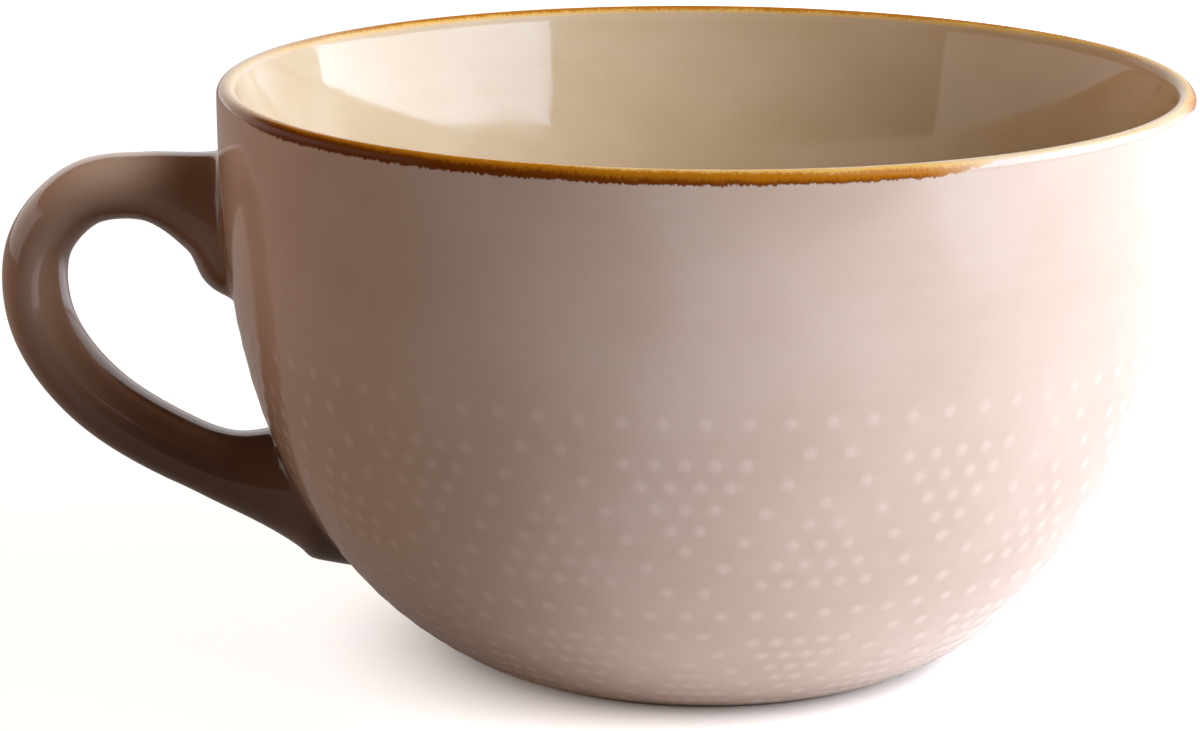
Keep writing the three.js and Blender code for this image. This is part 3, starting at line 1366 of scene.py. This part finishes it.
@dataclass
class Studio:
    """White table and backdrop, four softboxes, dark cloth behind the camera and overhead, and the camera."""

    wall: Wall
    eye: tuple[float, float] = (-498.44 * MM, 162.98 * MM)
    lens: float = 113.27
    yaw: float = -0.0279
    pitch: float = 0.2457
    roll: float = 0.0034
    softboxes: tuple[Softbox, ...] = (
        Softbox("key_softbox", 86, 37, 0.75, (1.25, 0.78), 4.1, (0.9, 1.09, 1.42), roll=-9),
        Softbox("side_softbox", 57, 38, 1.0, (0.8, 0.8), 2.2, (1.0, 0.97, 0.93), mirrored=False),
        Softbox("back_softbox", 175, 52, 1.0, (0.8, 0.8), 0.9, (1.0, 0.8, 0.62), mirrored=False),
        Softbox("low_softbox", -103, 7, 0.8, (0.75, 0.2), 6.0, (1.0, 0.76, 0.63), mirrored=False),
    )
    fill: Colour = (0.05, 0.032, 0.026)
    table_front: float = 0.31
    table_reach: float = 6.0
    # Painted shade on the table left of the mug, and white to the right
    table_painted_shade_and_white: tuple[Colour, Colour] = ((0.14, 0.09, 0.065), (0.96, 0.9, 0.85))
    table_painted_shade_change: Span = (-39 * MM, 13 * MM)
    table_roughness: float = 0.7
    shadow_radii: Span = (30.5 * MM, 57 * MM)
    glow_colour: Colour = (1.0, 0.94, 0.91)
    mirrored_glow: float = 0.15
    cloth_distance: float = 1.5
    cloth_sides: Span = (-3.4, 1.55)
    cloth_heights: Span = (-1.5, 1.5)
    cloth_colour: Colour = (0.03, 0.025, 0.02)
    canopy_reach: float = 2.8

    def build(self) -> None:
        """Set up the studio."""
        self.place_camera()
        for softbox in self.softboxes:
            softbox.hang(Vector((self.wall.axis, 0, self.wall.height / 2)))
        self.lay_table()
        self.hang_cloth()
        self.light_room()
        bpy.context.scene.view_settings.view_transform = "Standard"

    def place_camera(self) -> None:
        """Put the camera at the photograph's place."""
        camera = bpy.data.cameras.new("camera")
        camera.lens = self.lens
        eye = bpy.data.objects.new("camera", camera)
        bpy.context.scene.collection.objects.link(eye)
        turn = Matrix.Rotation(-self.yaw, 4, "Z") @ Matrix.Rotation(math.pi / 2 - self.pitch, 4, "X")
        place = Matrix.Translation((self.wall.axis, *self.eye))
        eye.matrix_world = place @ turn @ Matrix.Rotation(self.roll, 4, "Z")
        bpy.context.scene.camera = eye

    def lay_table(self) -> None:
        """Lay the table, which ends a little before the mug, looks white and keeps the shadow at the foot.
        Its left side is painted dark as shade, for the light that it throws back.
        """
        bpy.ops.object.select_all(action="DESELECT")
        depth = self.table_front + self.table_reach
        bpy.ops.mesh.primitive_plane_add(size=1, location=(0, depth / 2 - self.table_front, 0))
        table = bpy.context.object
        table.name = "table"
        table.scale = (2 * self.table_reach, depth, 1)
        bpy.ops.object.transform_apply()
        paint = Paint("white_table")
        # Painted shade: dark on the left, where the mug's shadow falls, so that little light bounces back
        # onto the mug
        side = paint.remap(paint.place()["x"], *self.table_painted_shade_change)
        paint.apply("Base Color", paint.mix(side, *self.table_painted_shade_and_white))
        paint.apply("Roughness", self.table_roughness)
        paint.apply("Emission Color", (*self.glow_colour, 1))
        near, far = self.shadow_radii
        shade = paint.sum("DIVIDE", paint.sum("SUBTRACT", far, paint.reach(self.wall.axis)), far - near)
        shade = paint.sum("MINIMUM", paint.sum("MAXIMUM", shade, 0.0), 1.0)
        glow = paint.sum("SUBTRACT", 1.0, paint.sum("MULTIPLY", shade, shade))
        paint.apply("Emission Strength", paint.sum("MULTIPLY", paint.seen(self.mirrored_glow), glow))
        table.data.materials.append(paint.material)

    def hang_cloth(self) -> None:
        """Hang dark cloth behind the camera and over the set, which only the glaze's reflections show."""
        bpy.ops.object.select_all(action="DESELECT")
        (left, right), (low, high) = self.cloth_sides, self.cloth_heights
        middle = ((left + right) / 2, -self.cloth_distance, (low + high) / 2)
        bpy.ops.mesh.primitive_plane_add(size=1, location=middle, rotation=(math.pi / 2, 0, 0))
        cloth = bpy.context.object
        cloth.name = "dark_cloth"
        cloth.scale = (right - left, high - low, 1)
        bpy.ops.object.transform_apply()
        bpy.ops.object.mode_set(mode="EDIT")
        bpy.ops.mesh.primitive_plane_add(size=2 * self.canopy_reach, location=(0, 0, high))
        bpy.ops.object.mode_set(mode="OBJECT")
        cloth.visible_camera = cloth.visible_diffuse = cloth.visible_shadow = False
        paint = Paint("dark_cloth")
        paint.apply("Base Color", (*self.cloth_colour, 1))
        paint.apply("Roughness", 1.0)
        cloth.data.materials.append(paint.material)

    def light_room(self) -> None:
        """Fill the room with soft light, and show white behind the mug."""
        world = bpy.data.worlds.new("room")
        bpy.context.scene.world = world
        world.use_nodes = True
        nodes = Nodes(world.node_tree)
        tone = nodes.mix(nodes.seen(), self.fill, WHITE)
        nodes.feed(nodes.tree.nodes["Background"].inputs["Color"], tone)


def main() -> None:
    """Build the mug and its studio."""
    logging.basicConfig(level=logging.INFO)
    wall = Wall.from_frame()
    beige, pale = srgb(197, 169, 147), srgb(204, 179, 158)
    clay = Clay("bare_clay", srgb(203, 187, 166), srgb(176, 157, 134))
    slip = Clay("slip", srgb(193, 176, 154), srgb(170, 152, 130))
    outer = Glaze("beige_glaze", beige, pale)
    dotted = DottedGlaze("beige_glaze_dots", beige, pale, crown=srgb(210, 184, 164))
    liner = Glaze("cream_glaze", srgb(195, 167, 130), srgb(202, 177, 143), gloss=0.05)
    # The handle's glaze is a darker copy of the beige glaze: partly a deeper tone where it lies thick, partly
    # painted shade
    taupe = HandleGlaze(
        "taupe_glaze",
        srgb(159, 124, 99),
        srgb(167, 132, 107),
        gloss=0.08,
        # Painted light on the handle's top and painted shade on its lower arm
        painted_lit_top=srgb(184, 148, 120),
        painted_shade_colour=srgb(130, 98, 75),
    )
    band = IronBand(
        "iron_glaze",
        wall,
        outer,
        liner,
        brown=srgb(116, 57, 11),
        amber=srgb(170, 101, 14),
        gold=srgb(208, 160, 82),
        pale_stretch=srgb(208, 178, 138),
    )
    Studio(wall).build()
    Bowl(wall, Wheel(wall.axis), clay, outer, liner, band).build()
    handle = Handle(wall, taupe)
    handle.build()
    DotFrieze(wall, handle, dotted).build()
    Core(clay, slip).dress()


if __name__ == "__main__":
    main()
